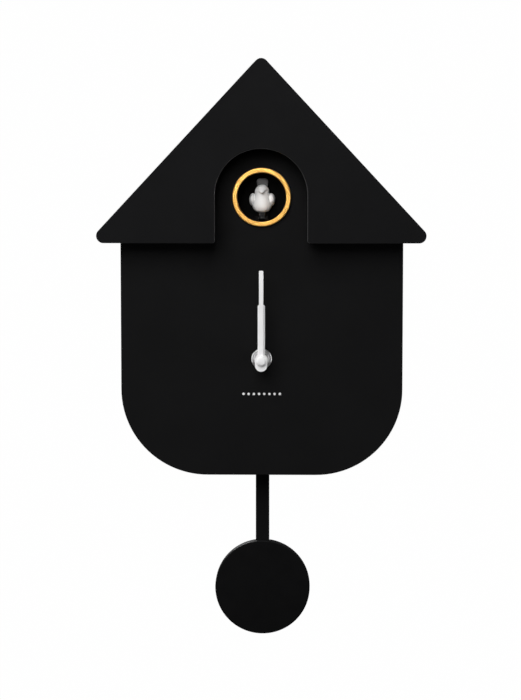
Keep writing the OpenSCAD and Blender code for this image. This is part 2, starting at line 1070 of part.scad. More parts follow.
// Potentiometer block, switch housing, button housing, chip and two capacitors
module board_parts() {
    at = -board_y[1];
    color(dark)
        difference() {
            union() {
                block(
                    [wheel_at[0] - 4, -at, wheel_at[2] - 7],
                    [wheel_at[0] + 4, wheel_at[1] + 3.6, wheel_at[2] - 1.6]
                );
                translate([wheel_at[0], wheel_at[1], wheel_at[2] - 1.7])
                    cylinder(r = 1.5, h = 4, $fn = 48);
                translate([switch_at[0], 0, switch_at[1]])
                    block([-7, -at, -3.5], [7, -8, 3.5]);
                translate([button_at[0], 0, button_at[1]])
                    block([-4, -at, -4], [4, -9, 4]);
                block([44, -at, -83], [58, -at + 2, -75]);
                for (x = [64, 72])
                    translate([x, 0, -78])
                        spindle(3, 9, at);
            }
            block([switch_at[0] - 4, -14, switch_at[1] - 1.9], [switch_at[0] + 4, -7, switch_at[1] + 1.9]);
            translate([button_at[0], 0, button_at[1]])
                spindle(1.6, 8, 14);
        }
}

module board_screws() {
    color(steel)
        for (x = [board_x[0] + 3, board_x[1] - 3], z = [board_z[0] + 3, board_z[1] - 3])
            translate([x, 0, z]) {
                spindle(1.9, -board_y[0], -board_y[0] + 1, 32);
                spindle(1, 11, -board_y[0] + eps, 32);
            }
}

module battery_tray() {
    color(dark)
        difference() {
            block([tray_x[0], -tray_deep, tray_z[0]], [tray_x[1], -cover_front, tray_z[1]]);
            block(
                [tray_x[0] + tray_wall, -tray_deep + tray_wall, tray_z[0] + tray_wall],
                [tray_x[1] - tray_wall, -cover_front + 1, tray_z[1] - tray_wall]
            );
        }
}

module battery_contacts() {
    mid = (tray_z[0] + tray_z[1]) / 2;
    reach = (tray_z[1] - tray_z[0]) / 2 - tray_wall;
    color(steel)
        for (x = cell_x, s = [-1, 1]) {
            block(
                [x - 5, -18, s < 0 ? mid - reach : mid + reach - 0.5],
                [x + 5, -8, s < 0 ? mid - reach + 0.5 : mid + reach]
            );
            translate([x, -12.4, mid + s * (reach - 2)])
                difference() {
                    cylinder(r = 3.2, h = 3, center = true, $fn = 48);
                    cylinder(r = 2.4, h = 4, center = true, $fn = 48);
                }
        }
}

module battery_cells() {
    mid = (tray_z[0] + tray_z[1]) / 2;
    color(amber)
        for (i = [0, 1])
            translate([cell_x[i], -12.4, mid])
                mirror([0, 0, i])
                    union() {
                        translate([0, 0, -cell_len / 2])
                            cylinder(r = cell_r, h = cell_len - 1.4, $fn = 64);
                        translate([0, 0, cell_len / 2 - 1.5])
                            cylinder(r = 2.2, h = 1.5, $fn = 48);
                    }
}

module battery_door() {
    gap = tray_wall + 0.4;
    color(dark)
        difference() {
            block(
                [tray_x[0] + gap, -cover_front + 0.3, tray_z[0] + gap],
                [tray_x[1] - gap, -cover_back, tray_z[1] - gap]
            );
            for (k = [0 : 4])
                block(
                    [tray_x[0] + 11, -cover_back - 0.6, tray_z[1] - 14 + k * 2],
                    [tray_x[1] - 11, -cover_back + 1, tray_z[1] - 13.2 + k * 2]
                );
        }
}

module volume_wheel() {
    color(dark)
        translate([wheel_at[0], wheel_at[1], wheel_at[2]])
            difference() {
                union() {
                    translate([0, 0, -1.2])
                        cylinder(r = 7.3, h = 2.4, $fn = 96);
                    for (a = [0 : 15 : 345])
                        rotate(a)
                            translate([7.3, 0, -1.2])
                                cylinder(r = 0.5, h = 2.4, $fn = 16);
                }
                translate([0, 0, -2])
                    cylinder(r = 1.5 + run_gap, h = 5, $fn = 48);
            }
}

module mode_switch() {
    color(grey)
        translate([switch_at[0], 0, switch_at[1]]) {
            block([-2, -13.5, -1.4], [2, -2.6, 1.4]);
        }
}

module test_button() {
    color(grey)
        translate([button_at[0], 0, button_at[1]]) {
            spindle(3.6, 1.6, 6.2);
            spindle(1.5, 6.2 - eps, 12);
        }
}

// ---------- drawing ----------

roof_shell();
body_shell();
back_cover();
roof_screws();
cover_screws();
wall_bumpers();
hanger_plate();
hanger_rivets();
window_ring();
bird_tunnel();
bird_guide();
bird_motor();
bird_rack();
bird_post();
bird_body();
bird_wings();
bird_beak();
bird_tail();
bird_drive_gear();
motor_gear();
movement_front();
movement_rear();
case_screws();
dial_washer();
hand_nut();
hour_wheel();
hour_hand();
centre_arbor();
centre_wheel();
minute_hand();
hand_cap();
motion_wheel();
third_wheel();
set_shaft();
set_knob();
drive_stator();
drive_coil();
movement_board();
pendulum_bracket();
pendulum_coil();
pendulum_hanger();
pendulum_magnet();
pendulum_rod();
bob_shell();
bob_weight();
bob_back();
bob_screws();
speaker_frame();
speaker_cone();
speaker_magnet();
sound_board();
board_parts();
board_screws();
battery_tray();
battery_contacts();
battery_cells();
battery_door();
volume_wheel();
mode_switch();
test_button();
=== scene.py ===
"""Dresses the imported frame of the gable-roofed wall clock.

Every sub-assembly of the clock is a class that builds its detailed meshes and gives them their
finishes. The studio class sets the floor, the backdrop, the lights and the camera.
"""
import json
import logging
import math
from dataclasses import dataclass
from enum import Enum
from typing import Callable, Iterable, Sequence

import bmesh
import bpy
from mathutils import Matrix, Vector

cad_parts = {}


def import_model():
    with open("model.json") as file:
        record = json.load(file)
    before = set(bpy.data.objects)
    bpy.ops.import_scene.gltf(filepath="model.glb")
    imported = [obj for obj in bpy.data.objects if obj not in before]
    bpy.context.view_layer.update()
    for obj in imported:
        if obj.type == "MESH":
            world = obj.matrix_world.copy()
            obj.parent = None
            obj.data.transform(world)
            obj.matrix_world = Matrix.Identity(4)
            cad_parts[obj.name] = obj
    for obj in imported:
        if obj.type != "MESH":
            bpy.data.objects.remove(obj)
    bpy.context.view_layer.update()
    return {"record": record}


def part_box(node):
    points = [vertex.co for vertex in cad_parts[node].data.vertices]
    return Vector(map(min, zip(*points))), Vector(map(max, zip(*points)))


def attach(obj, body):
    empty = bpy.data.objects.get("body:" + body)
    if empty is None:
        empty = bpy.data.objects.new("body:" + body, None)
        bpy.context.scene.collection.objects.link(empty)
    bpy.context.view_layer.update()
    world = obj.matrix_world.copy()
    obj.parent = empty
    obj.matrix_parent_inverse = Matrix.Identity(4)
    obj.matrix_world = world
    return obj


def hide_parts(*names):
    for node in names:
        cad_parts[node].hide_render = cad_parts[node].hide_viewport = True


log = logging.getLogger("clock")

MM = 0.001
Rgb = tuple[float, float, float]
Point2 = tuple[float, float]


# ---------------------------------------------------------------- finishes


class Bench:
    """A material's node tree, with short calls to add and wire its nodes."""

    def __init__(self, name: str) -> None:
        """Starts an empty principled material.

        Args:
            name: the material's name.
        """
        self.material = bpy.data.materials.new(name)
        self.material.use_nodes = True
        self.tree = self.material.node_tree
        self.shader = self.tree.nodes["Principled BSDF"]
        self.coords = self.tree.nodes.new("ShaderNodeTexCoord").outputs["Object"]

    def set(self, **values: float | Sequence[float]) -> None:
        """Sets sockets of the shader itself; underscores stand for spaces."""
        for key, value in values.items():
            self.shader.inputs[key.replace("_", " ")].default_value = value

    def node(self, kind: str, **options: object) -> bpy.types.Node:
        """Adds a node.

        Args:
            kind: the node's type without the ShaderNode prefix.
            **options: node properties, or input sockets given as in_NAME.

        Returns:
            The new node.
        """
        made = self.tree.nodes.new("ShaderNode" + kind)
        for key, value in options.items():
            if key.startswith("in_"):
                made.inputs[key[3:].replace("_", " ")].default_value = value
            else:
                setattr(made, key, value)
        return made

    def wire(self, source: bpy.types.NodeSocket, target: bpy.types.NodeSocket) -> None:
        """Connects one socket to another."""
        self.tree.links.new(source, target)

    def stretched(self, scale: Sequence[float], turn: Sequence[float] = (0, 0, 0)) -> bpy.types.NodeSocket:
        """Object coordinates turned and scaled by different amounts along each axis.

        Args:
            scale: the factor along X, Y and Z.
            turn: rotation in radians about X, Y and Z.

        Returns:
            The vector socket.
        """
        turned = self.node("Mapping")
        turned.inputs["Rotation"].default_value = turn
        self.wire(self.coords, turned.inputs["Vector"])
        mapping = self.node("Mapping")
        mapping.inputs["Scale"].default_value = scale
        self.wire(turned.outputs["Vector"], mapping.inputs["Vector"])
        return mapping.outputs["Vector"]

    def noise(
        self, scale: float, detail: float = 3.0, source: bpy.types.NodeSocket | None = None
    ) -> bpy.types.NodeSocket:
        """A noise field over the piece.

        Args:
            scale: waves per metre.
            detail: octaves.
            source: coordinates to use in place of the piece's own.

        Returns:
            The value socket.
        """
        made = self.node("TexNoise", in_Scale=scale, in_Detail=detail)
        self.wire(source or self.coords, made.inputs["Vector"])
        return made.outputs["Fac"]

    def span(self, field: bpy.types.NodeSocket, low: float, high: float) -> bpy.types.NodeSocket:
        """Maps a field's middle range to low and high.

        Args:
            field: the value to map, mostly between 0.3 and 0.7.
            low: the result at 0.3.
            high: the result at 0.7.

        Returns:
            The mapped value socket.
        """
        made = self.node("MapRange")
        for key, value in (("From Min", 0.3), ("From Max", 0.7), ("To Min", low), ("To Max", high)):
            made.inputs[key].default_value = value
        self.wire(field, made.inputs["Value"])
        return made.outputs["Result"]

    def tones(
        self, field: bpy.types.NodeSocket, stops: Sequence[tuple[float, Rgb]]
    ) -> bpy.types.NodeSocket:
        """Turns a field into colours.

        Args:
            field: the value that picks the colour.
            stops: positions and their linear colours.

        Returns:
            The colour socket.
        """
        ramp = self.node("ValToRGB")
        band = ramp.color_ramp.elements
        while len(band) < len(stops):
            band.new(0.5)
        for element, (position, colour) in zip(band, stops):
            element.position = position
            element.color = (*colour, 1.0)
        self.wire(field, ramp.inputs["Fac"])
        return ramp.outputs["Color"]

    def bump(
        self, field: bpy.types.NodeSocket, depth: float, strength: float = 1.0,
        under: bpy.types.NodeSocket | None = None,
    ) -> bpy.types.NodeSocket:
        """Raises the surface by a field.

        Args:
            field: the height field.
            depth: height in metres of a step of one.
            strength: share of the effect.
            under: a normal to add to.

        Returns:
            The normal socket, already wired to the shader.
        """
        made = self.node("Bump", in_Strength=strength, in_Distance=depth)
        self.wire(field, made.inputs["Height"])
        if under:
            self.wire(under, made.inputs["Normal"])
        self.wire(made.outputs["Normal"], self.shader.inputs["Normal"])
        return made.outputs["Normal"]


def shade(colour: Rgb, factor: float) -> Rgb:
    """A colour made lighter or darker by a factor."""
    return tuple(min(1.0, c * factor) for c in colour)


@dataclass(frozen=True)
class MouldedPlastic:
    """Moulded or soft-touch plastic with a fine spark-eroded grain.

    Args:
        name: the material's name.
        colour: linear base colour.
        roughness: middle roughness.
        grain: grains per metre.
        depth: grain depth in metres.
        mottle: share by which the colour drifts over the piece.
        sheen: weight of the soft-touch sheen.
        gloss: specular level.
        lift: light of its own, which keeps a studio surface pale.
    """

    name: str
    colour: Rgb
    roughness: float = 0.5
    grain: float = 3200.0
    depth: float = 0.00002
    mottle: float = 0.08
    sheen: float = 0.0
    gloss: float = 0.5
    lift: float = 0.0

    def make(self) -> bpy.types.Material:
        """Builds the material."""
        b = Bench(self.name)
        drift = b.noise(28.0, 4.0)
        stops = [(0.3, shade(self.colour, 1 - self.mottle)), (0.7, shade(self.colour, 1 + self.mottle))]
        tone = b.tones(drift, stops)
        b.wire(tone, b.shader.inputs["Base Color"])
        rough = b.span(b.noise(90.0, 5.0), self.roughness - 0.05, self.roughness + 0.05)
        b.wire(rough, b.shader.inputs["Roughness"])
        coarse = b.bump(b.noise(self.grain * 0.3, 2.0), self.depth, 0.5)
        b.bump(b.noise(self.grain, 2.0), self.depth, 0.8, coarse)
        b.set(Specular_IOR_Level=self.gloss, Sheen_Weight=self.sheen, Sheen_Roughness=0.5)
        if self.lift:
            b.wire(tone, b.shader.inputs["Emission Color"])
            b.set(Emission_Strength=self.lift)
        return b.material


class Brushing(Enum):
    """Which way a metal was brushed."""

    SLANTED = (0.0, 0.72, 0.0)
    UPRIGHT = (0.0, 0.0, 0.0)
    ACROSS = (0.0, math.pi / 2, 0.0)


@dataclass(frozen=True)
class BrushedMetal:
    """Metal with fine straight brush lines.

    Args:
        name: the material's name.
        colour: linear base colour.
        roughness: middle roughness.
        brushing: direction of the lines.
        lines: brush lines per metre.
        depth: line depth in metres.
        contrast: share by which the lines change the colour.
    """

    name: str
    colour: Rgb
    roughness: float = 0.3
    brushing: Brushing = Brushing.UPRIGHT
    lines: float = 2600.0
    depth: float = 0.00001
    contrast: float = 0.12

    def make(self) -> bpy.types.Material:
        """Builds the material."""
        b = Bench(self.name)
        along = b.stretched((self.lines, self.lines, self.lines * 0.025), self.brushing.value)
        lines = b.noise(1.0, 3.0, along)
        low, high = shade(self.colour, 1 - self.contrast), shade(self.colour, 1 + self.contrast)
        b.wire(b.tones(lines, [(0.35, low), (0.65, high)]), b.shader.inputs["Base Color"])
        b.wire(b.span(lines, self.roughness + 0.07, self.roughness - 0.07), b.shader.inputs["Roughness"])
        b.bump(lines, self.depth, 0.6)
        b.set(Metallic=1.0)
        return b.material


@dataclass(frozen=True)
class SatinPaint:
    """Sprayed satin paint with a faint orange peel.

    Args:
        name: the material's name.
        colour: linear base colour.
        roughness: middle roughness.
    """

    name: str
    colour: Rgb
    roughness: float = 0.35

    def make(self) -> bpy.types.Material:
        """Builds the material."""
        b = Bench(self.name)
        drift = b.noise(140.0, 3.0)
        b.wire(
            b.tones(drift, [(0.3, shade(self.colour, 0.96)), (0.7, shade(self.colour, 1.02))]),
            b.shader.inputs["Base Color"],
        )
        rough = b.span(b.noise(400.0), self.roughness - 0.04, self.roughness + 0.04)
        b.wire(rough, b.shader.inputs["Roughness"])
        b.bump(b.noise(1500.0, 2.0), 0.000008, 0.6)
        b.set(Coat_Weight=0.15, Coat_Roughness=0.2)
        return b.material


@dataclass(frozen=True)
class TurnedMetal:
    """Metal turned or stamped, with fine rings about the depth axis through a centre.

    Args:
        name: the material's name.
        colour: linear base colour.
        centre: the axis's x, y and z in metres.
        roughness: middle roughness.
    """

    name: str
    colour: Rgb
    centre: tuple[float, float, float]
    roughness: float = 0.28

    def make(self) -> bpy.types.Material:
        """Builds the material."""
        b = Bench(self.name)
        mapping = b.node("Mapping")
        mapping.inputs["Location"].default_value = [-c for c in self.centre]
        b.wire(b.coords, mapping.inputs["Vector"])
        rings = b.node(
            "TexWave", wave_type="RINGS", rings_direction="Y",
            in_Scale=700.0, in_Distortion=0.6, in_Detail=2.0,
        )
        b.wire(mapping.outputs["Vector"], rings.inputs["Vector"])
        tone = b.tones(b.noise(300.0), [(0.3, shade(self.colour, 0.86)), (0.7, shade(self.colour, 1.06))])
        b.wire(tone, b.shader.inputs["Base Color"])
        rough = b.span(b.noise(900.0), self.roughness - 0.06, self.roughness + 0.08)
        b.wire(rough, b.shader.inputs["Roughness"])
        b.bump(rings.outputs["Fac"], 0.000006, 0.5)
        b.set(Metallic=1.0)
        return b.material


@dataclass(frozen=True)
class WoundWire:
    """Enamelled copper wire wound side by side.

    Args:
        name: the material's name.
        colour: linear base colour.
        direction: the coil's axis, X or Y.
    """

    name: str
    colour: Rgb
    direction: str = "X"

    def make(self) -> bpy.types.Material:
        """Builds the material."""
        b = Bench(self.name)
        turns = b.node(
            "TexWave", wave_type="BANDS", bands_direction=self.direction,
            in_Scale=1200.0, in_Distortion=0.4,
        )
        b.wire(b.coords, turns.inputs["Vector"])
        stops = [(0.1, shade(self.colour, 0.35)), (0.6, self.colour)]
        b.wire(b.tones(turns.outputs["Fac"], stops), b.shader.inputs["Base Color"])
        b.wire(b.span(b.noise(500.0), 0.22, 0.34), b.shader.inputs["Roughness"])
        b.bump(turns.outputs["Fac"], 0.00008, 0.8)
        b.set(Metallic=0.85)
        return b.material


@dataclass(frozen=True)
class SolderMask:
    """Circuit board under green mask, with straight copper tracks showing through.

    Args:
        name: the material's name.
        colour: linear mask colour.
    """

    name: str
    colour: Rgb

    def make(self) -> bpy.types.Material:
        """Builds the material."""
        b = Bench(self.name)
        tracks = b.node(
            "TexBrick", offset=0.37, squash=1.4, in_Scale=160.0, in_Mortar_Size=0.03,
            in_Brick_Width=0.9, in_Row_Height=0.3,
        )
        b.wire(b.stretched((1, 1, 1), (math.pi / 2, 0, 0)), tracks.inputs["Vector"])
        stops = [(0.0, self.colour), (1.0, shade(self.colour, 1.9))]
        b.wire(b.tones(tracks.outputs["Fac"], stops), b.shader.inputs["Base Color"])
        b.wire(b.span(b.noise(300.0), 0.22, 0.34), b.shader.inputs["Roughness"])
        b.bump(tracks.outputs["Fac"], 0.00004, 0.6)
        return b.material


@dataclass(frozen=True)
class CellSleeve:
    """Printed sleeve of a dry cell: two plain bands along its length.

    Args:
        name: the material's name.
        low: height in metres where the bands change.
    """

    name: str
    low: float

    def make(self) -> bpy.types.Material:
        """Builds the material."""
        b = Bench(self.name)
        split = b.node("SeparateXYZ")
        b.wire(b.coords, split.inputs["Vector"])
        above = b.node("MapRange")
        for key, value in (("From Min", self.low - 0.0002), ("From Max", self.low + 0.0002)):
            above.inputs[key].default_value = value
        b.wire(split.outputs["Z"], above.inputs["Value"])
        stops = [(0.0, (0.03, 0.03, 0.032)), (1.0, (0.6, 0.3, 0.06))]
        b.wire(b.tones(above.outputs["Result"], stops), b.shader.inputs["Base Color"])
        b.wire(b.span(b.noise(200.0), 0.2, 0.32), b.shader.inputs["Roughness"])
        b.bump(b.noise(900.0), 0.00001, 0.5)
        b.set(Metallic=0.4, Coat_Weight=0.4, Coat_Roughness=0.12)
        return b.material


@dataclass(frozen=True)
class PressedPaper:
    """Pressed paper pulp of a loudspeaker cone.

    Args:
        name: the material's name.
        colour: linear base colour.
    """

    name: str
    colour: Rgb

    def make(self) -> bpy.types.Material:
        """Builds the material."""
        b = Bench(self.name)
        pulp = b.noise(1400.0, 6.0)
        stops = [(0.35, shade(self.colour, 0.7)), (0.65, shade(self.colour, 1.5))]
        b.wire(b.tones(pulp, stops), b.shader.inputs["Base Color"])
        b.wire(b.span(b.noise(200.0), 0.8, 0.95), b.shader.inputs["Roughness"])
        b.bump(pulp, 0.00006, 0.8)
        return b.material


@dataclass(frozen=True)
class Glow:
    """Even light given off by a backdrop.

    Args:
        name: the material's name.
        strength: light strength.
    """

    name: str
    strength: float

    def make(self) -> bpy.types.Material:
        """Builds the material."""
        b = Bench(self.name)
        b.set(Base_Color=(0, 0, 0, 1), Emission_Color=(1, 1, 1, 1), Emission_Strength=self.strength)
        return b.material


Finish = (
    MouldedPlastic | BrushedMetal | SatinPaint | TurnedMetal | WoundWire | SolderMask
    | CellSleeve | PressedPaper | Glow
)


class Palette:
    """The clock's finishes, each made once when first asked for."""

    def __init__(self, finishes: Iterable[Finish]) -> None:
        """Keeps the finishes by name."""
        self.finishes = {f.name: f for f in finishes}
        self.made: dict[str, bpy.types.Material] = {}

    def __getitem__(self, name: str) -> bpy.types.Material:
        """Returns the named finish's material."""
        if name not in self.made:
            self.made[name] = self.finishes[name].make()
        return self.made[name]


# ---------------------------------------------------------------- mesh work


def front_most(edge: bmesh.types.BMEdge, depth: float) -> bool:
    """Whether both ends of an edge lie at the given depth."""
    return all(abs(v.co.y - depth) < 2e-5 for v in edge.verts)


def fold(edge: bmesh.types.BMEdge) -> float:
    """The angle between an edge's two faces, or 0 on a border."""
    return edge.calc_face_angle(0.0) if len(edge.link_faces) == 2 else 0.0


class Workpiece:
    """A mesh under way, from a CAD node or from nothing, that becomes one visible piece."""

    def __init__(self, node: str | None = None) -> None:
        """Starts empty or from a clean copy of a CAD node's mesh.

        Args:
            node: name of the CAD node to copy.
        """
        self.bm = bmesh.new()
        if node:
            self.bm.from_mesh(bpy.data.objects[node].data)
            bmesh.ops.remove_doubles(self.bm, verts=self.bm.verts, dist=1e-6)
            bmesh.ops.dissolve_limit(
                self.bm, angle_limit=math.radians(0.6), verts=self.bm.verts, edges=self.bm.edges
            )

    def round_over(
        self, pick: Callable[[bmesh.types.BMEdge], bool], width: float, steps: int = 3, slot: int = -1
    ) -> None:
        """Rounds the edges that pick chooses.

        Args:
            pick: says whether an edge is rounded.
            width: radius in metres.
            steps: segments across the rounding.
            slot: material index of the rounding, or -1 to keep the neighbours' own.
        """
        chosen = [e for e in self.bm.edges if fold(e) > math.radians(30) and pick(e)]
        bmesh.ops.bevel(
            self.bm, geom=chosen, offset=width, offset_type="OFFSET", segments=steps,
            profile=0.5, affect="EDGES", clamp_overlap=True, harden_normals=False, material=slot,
        )

    def cut_across(self, y: float) -> None:
        """Splits every face that crosses a depth, so the two sides can carry two finishes.

        Args:
            y: the depth in metres.
        """
        bmesh.ops.bisect_plane(
            self.bm, geom=self.bm.verts[:] + self.bm.edges[:] + self.bm.faces[:],
            plane_co=(0, y, 0), plane_no=(0, 1, 0),
        )

    def lathe(
        self, profile: Sequence[Point2], centre: tuple[float, float], steps: int = 128
    ) -> None:
        """Turns a closed profile about the depth axis.

        Args:
            profile: radius and y of each point, in metres.
            centre: x and z of the axis.
            steps: segments round the axis.
        """
        rings = []
        for k in range(steps):
            a = 2 * math.pi * k / steps
            rings.append([
                self.bm.verts.new((centre[0] + r * math.cos(a), y, centre[1] + r * math.sin(a)))
                for r, y in profile
            ])
        count = len(profile)
        for k in range(steps):
            ring, after = rings[k], rings[(k + 1) % steps]
            for i in range(count):
                j = (i + 1) % count
                if profile[i][0] < 1e-7 and profile[j][0] < 1e-7:
                    continue
                self.bm.faces.new((ring[i], ring[j], after[j], after[i]))
        bmesh.ops.remove_doubles(self.bm, verts=self.bm.verts, dist=1e-7)
        bmesh.ops.dissolve_degenerate(self.bm, edges=self.bm.edges, dist=1e-8)

    def loft(self, rings: Sequence[Sequence[Vector]]) -> None:
        """Skins closed rings of equal count from first to last and closes both ends.

        Args:
            rings: points of each ring in turn.
        """
        rows = [[self.bm.verts.new(p) for p in ring] for ring in rings]
        for low, high in zip(rows, rows[1:]):
            for i in range(len(low)):
                j = (i + 1) % len(low)
                self.bm.faces.new((low[i], low[j], high[j], high[i]))
        self.bm.faces.new(tuple(reversed(rows[0])))
        self.bm.faces.new(tuple(rows[-1]))

    def finish(
        self, name: str, material: bpy.types.Material, smooth_to: float = 32.0, subdivide: int = 0
    ) -> bpy.types.Object:
        """Turns the work into an object in the scene.

        Args:
            name: the piece's name.
            material: its finish.
            smooth_to: edges that fold less than this many degrees are shaded smooth.
            subdivide: levels of subdivision surface.

        Returns:
            The object.
        """
        bmesh.ops.recalc_face_normals(self.bm, faces=self.bm.faces)
        mesh = bpy.data.meshes.new(name)
        self.bm.to_mesh(mesh)
        self.bm.free()
        mesh.materials.append(material)
        for face in mesh.polygons:
            face.use_smooth = True
        if subdivide:
            piece = bpy.data.objects.new(name, mesh)
            modifier = piece.modifiers.new("surface", "SUBSURF")
            modifier.levels = modifier.render_levels = subdivide
        else:
            mesh.set_sharp_from_angle(angle=math.radians(smooth_to))
            piece = bpy.data.objects.new(name, mesh)
            modifier = piece.modifiers.new("normals", "WEIGHTED_NORMAL")
            modifier.keep_sharp = True
        bpy.context.scene.collection.objects.link(piece)
        return piece


class SubAssembly:
    """A group of pieces that are built and dressed together."""

    def __init__(self, palette: Palette, record: dict) -> None:
        """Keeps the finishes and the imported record.

        Args:
            palette: the clock's finishes.
            record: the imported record.
        """
        self.palette = palette
        self.body_of = {n: b for b, ns in record["behaviour"]["bodies"].items() for n in ns}
        self.slot_of = {s["node"]: s["material_slot"] for s in record["subparts"]}
        self.pieces: list[str] = []

    def dress(self, node: str, finish: str) -> None:
        """Gives a CAD node that keeps its shape a finish."""
        slots = bpy.data.objects[node].data.materials
        slots.clear()
        slots.append(self.palette[finish])
        self.pieces.append(node)

    def stand_in(self, piece: bpy.types.Object, node: str) -> None:
        """Puts a detailed piece in a CAD node's place and on its body."""
        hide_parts(node)
        self.slot_of[node]
        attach(piece, self.body_of[node])
        self.pieces.append(piece.name)

    def refine(
        self, node: str, finish: str, width: float = 0.0003, steps: int = 2,
        pick: Callable[[bmesh.types.BMEdge], bool] = lambda e: True,
    ) -> None:
        """Replaces a CAD node by a copy whose edges are rounded over.

        Args:
            node: the CAD node.
            finish: the finish's name.
            width: edge radius in metres.
            steps: segments across the rounding.
            pick: says which sharp edges are rounded.
        """
        work = Workpiece(node)
        work.round_over(pick, width, steps)
        self.stand_in(work.finish(node + "_formed", self.palette[finish]), node)

    def report(self) -> None:
        """Logs the pieces made."""
        log.info("%s: %s", type(self).__name__, ", ".join(self.pieces))


# ---------------------------------------------------------------- the clock


@dataclass
class RoofSizes:
    """Roundings of the roof.

    Args:
        front: radius of the front edges.
        notch_corner: radius of the notch's two lower corners.
        back: radius of the back edges.
    """

    front: float = 0.0013
    notch_corner: float = 0.0016
    back: float = 0.0006


class Roof(SubAssembly):
    """The gable roof shell with its arched notch."""

    sizes = RoofSizes()

    def build(self) -> None:
        """Rounds the notch corners, then the whole front outline."""
        low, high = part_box("roof_shell")
        work = Workpiece("roof_shell")

        def notch_corner(e: bmesh.types.BMEdge) -> bool:
            """Whether an edge is a lower corner of the notch."""
            a, b = (v.co for v in e.verts)
            level = max(a.z, b.z) < low.z + 1e-5 and abs(a.x - b.x) < 1e-6
            return level and 0.028 < abs(a.x) < 0.036 and min(a.y, b.y) < low.y + 1e-5

        work.round_over(notch_corner, self.sizes.notch_corner, 4)
        # The notch's side bevels take the second slot, a lighter, glossier copy of the roof black: a
        # painted highlight along the notch's edges.
        work.round_over(
            lambda e: front_most(e, low.y) and max(abs(v.co.x) for v in e.verts) < 0.033,
            self.sizes.front, 5, 1,
        )
        work.round_over(
            lambda e: front_most(e, low.y) and max(abs(v.co.x) for v in e.verts) > 0.033,
            self.sizes.front, 5,
        )
        work.round_over(
            lambda e: front_most(e, high.y) and max(abs(v.co.x) for v in e.verts) > 0.0985,
            self.sizes.back, 3,
        )
        roof = work.finish("roof_formed", self.palette["roof_black"])
        # Second slot: the painted highlight on the notch's side bevels.
        roof.data.materials.append(self.palette["edge_black"])
        self.stand_in(roof, "roof_shell")
        self.dress("roof_screws", "zinc")


@dataclass
class CaseSizes:
    """Roundings of the case and the measures of its row of dots.

    Args:
        outline: radius of the body's front edges.
        cover: radius of the cover's rear edges.
        bumper: radius of the bumpers' edges.
        cover_faces: y of the cover's rear faces.
        window_clear: radius round the window's centre that keeps its edges sharp.
        flank: front edges further out than this belong to the outline.
        foot: front edges within this height of the bottom belong to the outline.
        dots: how many dots.
        dot: radius of one dot.
        pitch: distance between dots.
        drop: height of the hands' centre above the row.
    """

    outline: float = 0.0012
    cover: float = 0.0004
    bumper: float = 0.0005
    cover_faces: tuple[float, float] = (-0.0045, -0.002)
    window_clear: float = 0.022
    flank: float = 0.06
    foot: float = 0.03
    dots: int = 8
    dot: float = 0.0009
    pitch: float = 0.0036
    drop: float = 0.0247


class Case(SubAssembly):
    """The body with its plain dial, the back cover and what holds them."""

    sizes = CaseSizes()

    def build(self) -> None:
        """Builds the body, the cover, the bumpers and the hanger."""
        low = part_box("body_shell")[0]
        centre = (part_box("window_ring")[0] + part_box("window_ring")[1]) / 2

        def outline(e: bmesh.types.BMEdge) -> bool:
            """Whether a front edge belongs to the outline, away from window and arbor."""
            mid = (e.verts[0].co + e.verts[1].co) / 2
            near = (mid - centre).xz.length < self.sizes.window_clear
            outer = abs(mid.x) > self.sizes.flank or mid.z < low.z + self.sizes.foot
            return front_most(e, low.y) and not near and outer

        work = Workpiece("body_shell")
        work.round_over(outline, self.sizes.outline, 5)
        self.stand_in(work.finish("body_formed", self.palette["body_black"]), "body_shell")
        self.refine(
            "back_cover", "panel_black", self.sizes.cover, 2,
            lambda e: any(front_most(e, y) for y in self.sizes.cover_faces),
        )
        self.refine("wall_bumpers", "rubber", self.sizes.bumper, 3)
        for node in ("hanger_plate", "hanger_rivets", "cover_screws"):
            self.dress(node, "zinc")
        self.row_of_dots(low.y)

    def row_of_dots(self, dial: float) -> None:
        """Prints a plain row of dots below the hands.

        Args:
            dial: y of the dial face.
        """
        hand_z = (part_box("hand_nut")[0].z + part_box("hand_nut")[1].z) / 2
        work = Workpiece()
        size = self.sizes
        profile = [
            (0.0, dial), (size.dot, dial), (size.dot * 0.94, dial - 0.00006), (0.0, dial - 0.00008),
        ]
        for k in range(size.dots):
            x = (k - (size.dots - 1) / 2) * size.pitch
            work.lathe(profile, (x, hand_z - size.drop), 24)
        piece = work.finish("dial_dots", self.palette["print_white"])
        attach(piece, "case")
        self.pieces.append(piece.name)


@dataclass
class WindowSizes:
    """Measures of the window ring's section.

    Args:
        bore: inner radius.
        seat: how far the part behind the dial lies inside the outer radius.
        inner_lip: radius of the rounding at the bore.
        outer_lip: radius of the rounding at the outer edge.
        dial: y of the dial face.
    """

    bore: float = 0.01695
    seat: float = 0.0015
    inner_lip: float = 0.0005
    outer_lip: float = 0.0006
    dial: float = -0.06


